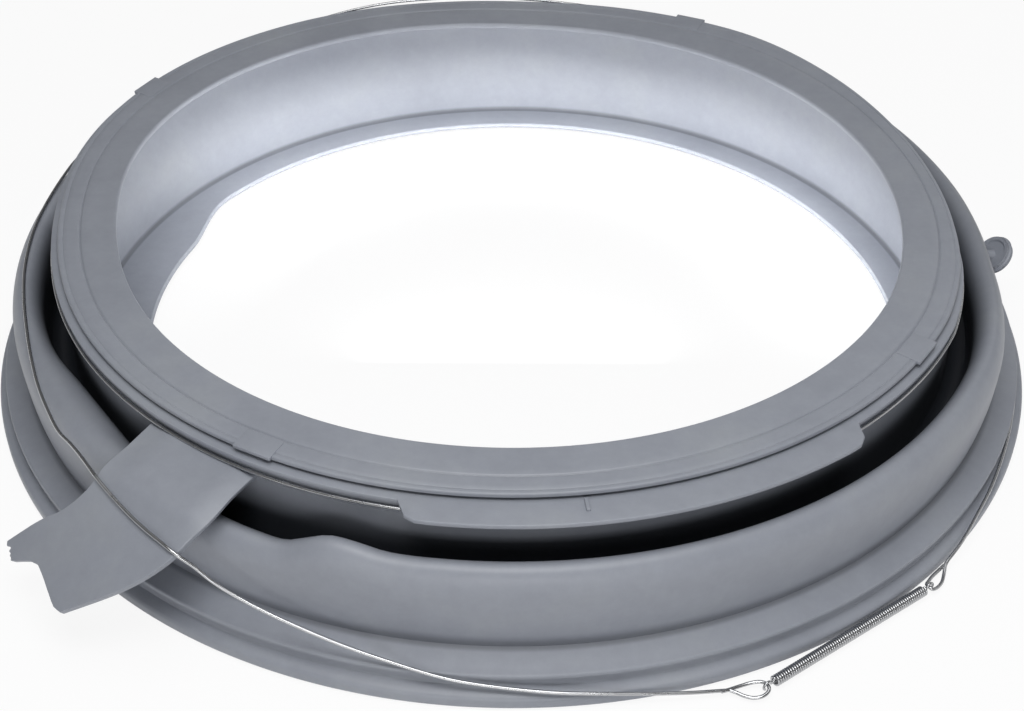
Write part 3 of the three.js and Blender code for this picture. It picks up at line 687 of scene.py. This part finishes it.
tongueRoot = seatBottom - 0.6
tongue = {
    "thickness": 2.2,
    "edge": 0.45,
    "bow": 1.1,  # the root follows the round wall
    "bowLength": 0.25,  # share of the tongue's length
    "curl": 1.4,  # the middle stands over the near edge as far as the wire
    "curlRise": (0.03, 0.12),  # shares of the length
    "curlFall": (0.4, 0.54),
    "curlFar": 0.3,  # shares of the width where the curl is full, and where it falls and how fast
    "curlNear": (0.8, 0.2),
    "far": spots(wallInner, tongueRoot, [(1.7, 132.2, 0)])
    + spots(seatRadius, foldTop, [(1.9, 131.7, 5.6)])
    + spots(foldOuter, foldTop, [
        (-6.0, 131.0, 4.8), (3.6, 130.8, 3.2), (7.7, 130.7, 0.8), (11.9, 131.2, -3.3),
        (17.3, 132.6, -9.6), (22.4, 134.3, -14.7), (33.0, 137.3, -27.3),
    ]),
    "near": spots(wallInner, tongueRoot, [(1.7, 117.2, 0)])
    + spots(seatRadius, foldTop, [(2.3, 117.4, 4.8)])
    + spots(foldOuter, foldTop, [
        (-8.3, 117.7, 4.0), (1.2, 118.0, 1.9), (7.3, 118.6, -0.6), (15.2, 119.4, -4.6),
        (21.8, 121.0, -9.9), (27.4, 122.8, -14.8), (40.1, 128.0, -27.9),
    ]),
    # outline of the torn tip: share of the width from the far edge, share of the length
    "tip": [
        (0, 0.975), (0.03, 0.981), (0.055, 0.984), (0.065, 0.977), (0.1, 0.979), (0.115, 0.988),
        (0.15, 0.986), (0.16, 0.992), (0.2, 0.9925), (0.227, 0.998), (0.238, 0.994), (0.275, 0.98),
        (0.335, 0.96), (0.375, 0.956), (0.405, 0.9525), (0.42, 0.952), (0.55, 0.959), (0.7, 0.968),
        (0.85, 0.976), (0.92, 0.9785), (0.96, 0.977), (1, 0.975),
    ],
    "columns": 72,
    "rows": 100,
}


def parameterLine(points, steps=20):  # the same number of even steps between each two of the given points
    dense = []
    for i in range(len(points) - 1):
        piece = smoothLine(points[max(0, i - 1) : min(len(points), i + 3)], density=0.05)
        start = min(range(len(piece)), key=lambda k: (piece[k] - points[i]).length)
        end = min(range(len(piece)), key=lambda k: (piece[k] - points[i + 1]).length)
        for k in range(steps):
            dense.append(lineAt(piece[start : end + 1], k / steps))
    dense.append(points[-1])
    return dense


def between(dense, share):
    f = part(share) * (len(dense) - 1)
    i = min(int(f), len(dense) - 2)
    return dense[i].lerp(dense[i + 1], f - i)


farLine = parameterLine(tongue["far"])
nearLine = parameterLine(tongue["near"])


def tipAt(u):  # straight between the rows, because the tip is torn and not moulded
    rows = tongue["tip"]
    i = max(k for k in range(len(rows) - 1) if rows[k][0] <= u + 1e-6)
    t = (u - rows[i][0]) / (rows[i + 1][0] - rows[i][0])
    return rows[i][1] + (rows[i + 1][1] - rows[i][1]) * t


def tonguePoint(u, v):  # u across from the far edge, v along from the root
    v *= tipAt(u)
    point = between(farLine, v).lerp(between(nearLine, v), u)
    bow = tongue["bow"] * max(0, 1 - v / tongue["bowLength"]) * 4 * u * (1 - u)
    out = math.hypot(point.x, point.y)
    point.x += bow * point.x / out
    point.y += bow * point.y / out
    fallFrom, fallOver = tongue["curlNear"]
    curl = step(u, 0, tongue["curlFar"]) * (1 - max(0, (u - fallFrom) / fallOver) ** 2)
    point.z += tongue["curl"] * curl * step(v, *tongue["curlRise"]) * (1 - step(v, *tongue["curlFall"]))
    return point


columns, rows = tongue["columns"], tongue["rows"]
bpy.ops.mesh.primitive_grid_add(x_subdivisions=columns, y_subdivisions=rows, size=1, location=(0, 0, 0))
strip = bpy.context.object
for vertex in strip.data.vertices:
    vertex.co = tonguePoint(vertex.co.x + 0.5, vertex.co.y + 0.5)
edit(strip)
faceOutwards()
done()
apply(strip, "SOLIDIFY", thickness=tongue["thickness"], offset=0.0, use_even_offset=True)
roundEdges(strip, tongue["edge"], 50)
edit(strip)
faceOutwards()
done()
weldInto(gasket, strip)
print("stage: tongue")

stud = {
    "angle": 359,
    "height": 29.4,
    "radius": 7.4,
    "thickness": 3.6,
    "rim": 1.3,
    "dish": 0.8,
    "dishSlope": 0.5,
    "edge": 0.4,
    "neckRadius": 2.2,
    "reach": 2.4,
    "root": 5.2,  # how far the neck goes into the fold
    "lean": 40,
    "turn": 12,
}


def cylinder(sides, radius, length):
    bpy.ops.mesh.primitive_cylinder_add(vertices=sides, radius=radius, depth=length, location=(0, 0, 0))
    return bpy.context.object


head = cylinder(64, stud["radius"], stud["thickness"])
for face in head.data.polygons:  # both flat faces are dished
    face.select = abs(face.normal.z) > 0.9
pick(head)
bpy.ops.object.mode_set(mode="EDIT")
bpy.ops.mesh.select_mode(type="FACE")
bpy.ops.mesh.inset(thickness=stud["rim"], use_individual=True)
bpy.ops.mesh.inset(thickness=stud["dishSlope"], depth=-stud["dish"], use_individual=True)
done()
roundEdges(head, stud["edge"], 40)
edit(head)
turn("Y", -(90 + stud["lean"]))
turn("Z", -stud["turn"])
bpy.ops.transform.translate(value=(foldOuter + stud["reach"], 0, stud["height"]))
done()
neck = cylinder(32, stud["neckRadius"], stud["reach"] + stud["root"])
edit(neck)
turn("Y", 90)
bpy.ops.transform.translate(value=(foldOuter + (stud["reach"] - stud["root"]) / 2, 0, stud["height"]))
done()
weldInto(head, neck)
edit(head)
turn("Z", stud["angle"])
done()
weldInto(gasket, head)
print("stage: stud")

finish(gasket, "rubberSeal", rubber, 32, "gasket")


def wirePiece(name, points, radius, closed=False, sides=4):
    curve = bpy.data.curves.new(name, "CURVE")
    curve.dimensions = "3D"
    spline = curve.splines.new("POLY")
    spline.points.add(len(points) - 1)
    for knot, p in zip(spline.points, points):
        knot.co = (p[0], p[1], p[2], 1)
    spline.use_cyclic_u = closed
    curve.bevel_depth = radius
    curve.bevel_resolution = sides
    curve.use_fill_caps = True
    piece = bpy.data.objects.new(name, curve)
    bpy.context.scene.collection.objects.link(piece)
    pick(piece)
    bpy.ops.object.convert(target="MESH")
    piece = bpy.context.object
    edit(piece)
    mergeDoubles(0.002)
    faceOutwards()
    done()
    return piece


clamp = {"radius": 0.6, "clearance": 0.3, "density": 1.3, "eyeDensity": 0.35}
onSeat = clampSeatRadius + 1.5 * clamp["clearance"] + clamp["radius"]
cornerTop, cornerBottom = seal["clampSeatCorner"]
seatMiddle = (seal["clampSeatTop"] - cornerTop + clampSeatBottom + cornerBottom) / 2
onCrown = foldTop + clamp["clearance"] + clamp["radius"]
# from the left eye to the right one: along the rim, over the tongue and the fold, round the door end
# and into its seat
clampRoute = (
    spots(rimRadius, clamp["radius"], [(4.8, 71.4, 1.3), (3.2, 74.5, 2.3)])
    + spots(rimRadius, seatMiddle, [
        (1.3, 78.8, -3.0), (0.4, 82.5, -1.5), (-0.3, 86.1, -0.4), (-1.9, 91.1, 0.7),
    ])
    + spots(rimRadius, seal["clampSeatTop"], [(-2.2, 95.4, 0.8)])
    + spots(rimRadius, seal["creaseHeight"], [(-3.4, 100.7, 0.1), (-3.1, 105.9, 5.0)])
    + spots(rimRadius, foldTop, [
        (-1.5, 112.2, -19.0), (0.3, 116.0, -12.2), (1.6, 117.7, -6.7), (2.9, 118.7, -3.3), (3.2, 119.6, -1.6),
        (2.2, 121.1, -1.1), (1.2, 122.8, -0.7), (-0.1, 124.9, 0), (-1.5, 127.2, 1.2), (-2.4, 128.9, 2.3),
        (-3.3, 130.6, 3.5), (-5.4, 133.2, 3.2),
    ])
    + spots(rimRadius, onCrown, [(-7.3, 136.4, 1.0)])
    + spots(foldOuter, onCrown, [(3.4, 139.0, 0.2), (1.5, 142.5, 0)])
    + spots(foldMiddle, onCrown, [
        (4.8, 147.0, 0), (2.4, 152.0, 0), (0.8, 156.7, 0), (-0.1, 163.4, 0), (0, 169.9, 0), (0.4, 177.2, 0),
        (0.7, 183.0, 0), (1.6, 190.2, 0), (2.5, 194.9, 0), (2.0, 202.0, 0.6), (0.8, 211.0, 3.6),
    ])
    + spots(lipRadius, lipTop, [
        (3.6, 220.0, -3.0), (2.8, 230.0, -2.0), (2.2, 240.0, -1.2), (1.7, 246.5, 0.9),
    ], settled)
    + spots(faceRadius, seal["height"], [(1.7, 252.5, 0.5), (1.7, 263.0, 0.5)], settled)
    + spots(lipRadius, lipTop, [(1.5, 276.0, 0.6)], settled)
    + spots(foldOuter, foldTop, [(-6.0, 292.0, 7.4), (3.2, 307.0, -2.2), (8.0, 321.0, -18.0)])
    + spots(onSeat, seal["creaseHeight"], [(2.4, 335.0, 1.1)])
    + spots(onSeat, seal["clampSeatTop"], [(1.7, 346.0, -0.2)])
    + spots(onSeat, seatMiddle, [(0.2, 357.0, 0), (0, 10.0, 0), (0, 22.0, 0)])
    + spots(rimRadius, seatMiddle, [(-1.7, 32.0, -0.2), (-0.3, 37.6, -1.0), (1.2, 41.6, -2.4)])
    + spots(rimRadius, clamp["radius"], [(1.6, 44.5, 2.3)])
)
eyeLow = clamp["radius"] + 0.7
leftEye = spots(rimRadius, eyeLow, [
    (4.9, 71.8, 0.7), (4.7, 71.1, 0.4), (4.4, 69.8, 0.2), (4.7, 68.9, 0.5), (5.6, 68.25, 0.9),
    (6.8, 67.95, 1.1), (8.0, 67.87, 1.2), (9.3, 67.95, 1.0), (10.3, 68.35, 0.6), (10.5, 68.9, 0.3),
    (9.8, 69.5, 0), (8.2, 70.1, 0), (6.3, 70.6, 0.2), (5.0, 71.05, 0.5),
])
rightEye = (
    spots(rimRadius, clamp["radius"], [(1.5, 44.0, 2.8), (1.9, 44.6, 2.1)])
    + spots(rimRadius, eyeLow, [
        (3.5, 45.5, 0.4), (4.9, 46.4, 0.1), (5.3, 47.1, 0.2), (5.3, 47.7, 0.6), (4.9, 48.02, 1.0),
        (3.8, 48.04, 1.2), (2.6, 47.95, 1.1), (2.0, 47.4, 0.9), (1.5, 46.6, 0.8), (1.4, 45.5, 0.8),
    ])
    + spots(rimRadius, clamp["radius"], [(1.6, 44.65, 2.0)])
)
clampWire = wirePiece("clampWire", smoothLine(clampRoute, density=clamp["density"]), clamp["radius"])
for name, route in (("leftEye", leftEye), ("rightEye", rightEye)):
    weldInto(clampWire, wirePiece(name, smoothLine(route, density=clamp["eyeDensity"]), clamp["radius"]))
finish(clampWire, "clampWire", steel, 40, "clamp_wire")

front = {"radius": 0.6, "clearance": 0.39, "rise": 0.3}
ringRadius = seatRadius + front["clearance"] + front["radius"]
ringHeight = lipBottom - seal["seatHeight"] / 2 + front["rise"]
ringRoute = [settled(ringRadius, angle, ringHeight) for angle in range(360)]
frontWire = wirePiece("frontWire", ringRoute, front["radius"], closed=True)
finish(frontWire, "frontWire", steel, 40, "front_wire")

spring = {
    "radius": 1.9,
    "axis": 2.2,
    "clearance": 0.3,
    "wire": 0.42,
    "pitch": 0.92,
    "perTurn": 16,
    "hookRadius": 1.5,
    "hookNeck": 1.4,
    "hookTurn": 240,  # degrees
    "hookSteps": 18,
}
springStart = around(rimRadius + 7.3, 67.16, spring["axis"] + spring["clearance"])
springEnd = around(rimRadius + 3.5, 48.8, spring["axis"] + spring["clearance"])


def springLine(s):
    axis = springEnd - springStart
    length = axis.length
    forward = axis.normalized()
    side = Vector((0, 0, 1)).cross(forward).normalized()
    up = forward.cross(side)
    coilRadius = s["radius"] - s["wire"]
    count = round(length / s["pitch"]) * s["perTurn"]
    coils = []
    for i in range(count + 1):
        a = 2 * math.pi * i / s["perTurn"]
        centre = springStart + forward * (length * i / count)
        coils.append(centre + up * (coilRadius * math.cos(a)) + side * (coilRadius * math.sin(a)))

    def hook(coilEnd, start, direction):  # a short neck from the last coil, then an open loop
        middle = start + direction * (s["hookRadius"] + s["hookNeck"])
        bend = []
        for i in range(s["hookSteps"] + 1):
            a = math.radians(180 - s["hookTurn"] * i / s["hookSteps"])
            lift = Vector((0, 0, s["hookRadius"] * math.sin(a)))
            bend.append(middle + direction * (s["hookRadius"] * math.cos(a)) + lift)
        neckMiddle = coilEnd.lerp(bend[0], 0.6) + Vector((0, 0, -0.3))
        return smoothLine([coilEnd, neckMiddle] + bend, density=0.3)

    before = hook(coils[0], springStart, -forward)
    after = hook(coils[-1], springEnd, forward)
    return list(reversed(before))[:-1] + coils + after[1:]


clampSpring = wirePiece("clampSpring", springLine(spring), spring["wire"], sides=2)
finish(clampSpring, "clampSpring", steel, 50, "clamp_spring")
print("stage: wires and spring")

room = {"floor": "f4f4f5", "floorSize": 8, "floorHeight": -0.0006, "cameraWhite": 0.9, "world": 0.16}

bpy.ops.mesh.primitive_plane_add(size=room["floorSize"], location=(0, 0, room["floorHeight"]))
floor = bpy.context.object
floor.name = "floor"
# matt and pale under the lamps; the camera and reflections see it nearly white
floorLook, tree = emptyMaterial("paintedTableTop")
white = (1, 1, 1, 1)
rays = add(tree, "ShaderNodeLightPath", (-600, 200)).outputs
seenBy = {0: rays["Is Camera Ray"], 1: rays["Is Glossy Ray"]}
seen = add(tree, "ShaderNodeMath", (-400, 200), {"operation": "MAXIMUM"}, seenBy).outputs[0]
share = add(tree, "ShaderNodeMath", (-200, 200), {"operation": "MULTIPLY", 1: room["cameraWhite"]}, {0: seen})
matt = add(tree, "ShaderNodeBsdfDiffuse", (-200, 0), {"Color": colour(room["floor"])})
glow = add(tree, "ShaderNodeEmission", (-200, -150), {"Color": white, "Strength": 1.0})
mixture = {0: share.outputs[0], 1: matt.outputs[0], 2: glow.outputs[0]}
mixed = add(tree, "ShaderNodeMixShader", (0, 0), {}, mixture)
add(tree, "ShaderNodeOutputMaterial", (200, 0), {}, {"Surface": mixed.outputs[0]})
floor.data.materials.append(floorLook)

world = bpy.data.worlds.new("studio")
bpy.context.scene.world = world
world.use_nodes = True
sky = world.node_tree
sky.nodes.clear()
toCamera = add(sky, "ShaderNodeLightPath", (-600, 0)).outputs["Is Camera Ray"]
skyRange = {"To Min": room["world"], "To Max": 1.0}
skyStrength = add(sky, "ShaderNodeMapRange", (-400, 0), skyRange, {"Value": toCamera}).outputs["Result"]
backdrop = add(sky, "ShaderNodeBackground", (-200, 0), {"Color": white}, {"Strength": skyStrength})
add(sky, "ShaderNodeOutputWorld", (0, 0), {}, {"Surface": backdrop.outputs[0]})

# "glossy" False keeps a lamp's reflection off the face at the back
lamps = [
    {"name": "softboxTop", "size": (0.8, 0.8), "at": (0, 0, 1.3), "watts": 3.9},
    {"name": "softboxFront", "size": (0.9, 0.3), "at": (0, -1.4, 0.35), "watts": 4.4},
    {"name": "nearFill", "size": (0.4, 0.2), "at": (0, -0.35, 0.6), "aim": (0, -0.2, 0), "watts": 1.9},
    {"name": "stripRight", "size": (0.4, 0.9), "at": (1.1, 0, 0.5), "watts": 0.8},
    {"name": "stripBackRight", "size": (0.4, 0.8), "at": (0.8, 0.9, 0.6), "watts": 0.7},
    {"name": "softboxBack", "size": (0.9, 0.3), "at": (0, 1.4, 0.35), "watts": 5.0, "glossy": False},
    {
        "name": "innerWall",
        "size": (0.12, 0.04),
        "at": (0, -0.03, 0.022),
        "aim": (0, 0.17, 0.012),
        "watts": 0.06,
    },
]
# small strips inside the opening light the wall at the back: its foot, then its sides
footStrip = {"name": "footStrip", "radius": 0.125, "height": 0.024, "aimRadius": 0.133, "aimHeight": 0}
wallStrip = {"name": "wallStrip", "radius": 0.1, "height": 0.04, "aimRadius": 0.17, "aimHeight": 0.03}
for strip, bearing, watts in (
    (footStrip, 15, 0.038), (footStrip, 52, 0.045), (footStrip, 90, 0.045), (footStrip, 128, 0.043),
    (wallStrip, 22, 0.014), (wallStrip, 152, 0.032),
):
    across, back = math.cos(math.radians(bearing)), math.sin(math.radians(bearing))
    lamps.append({
        "name": strip["name"],
        "size": (0.08, 0.012),
        "at": (strip["radius"] * across, strip["radius"] * back, strip["height"]),
        "aim": (strip["aimRadius"] * across, strip["aimRadius"] * back, strip["aimHeight"]),
        "watts": watts,
    })
for lamp in lamps:
    bpy.ops.object.light_add(type="AREA", location=lamp["at"])
    light = bpy.context.object
    light.name = lamp["name"]
    light.data.shape = "RECTANGLE"
    light.data.size, light.data.size_y = lamp["size"]
    light.data.energy = lamp["watts"]
    towards = Vector(lamp.get("aim", (0, 0, 0))) - Vector(lamp["at"])
    light.rotation_euler = towards.to_track_quat("-Z", "Y").to_euler()
    light.visible_camera = False
    light.visible_glossy = lamp.get("glossy", True)

view = {
    "at": (0.0002, -0.4989, 0.3644),
    "elevation": 37.64,  # degrees looking down
    "roll": 0.22,
    "lens": 52.207,
    "sensor": 36,
    "near": 0.01,
}
bpy.ops.object.camera_add(location=view["at"], rotation=(math.radians(90 - view["elevation"]), 0, 0))
camera = bpy.context.object
camera.rotation_euler.rotate_axis("Z", math.radians(view["roll"]))
camera.data.lens = view["lens"]
camera.data.sensor_width = view["sensor"]
camera.data.clip_start = view["near"]
bpy.context.scene.camera = camera
bpy.context.scene.view_settings.view_transform = "Standard"
print("stage: floor, lamps and camera")
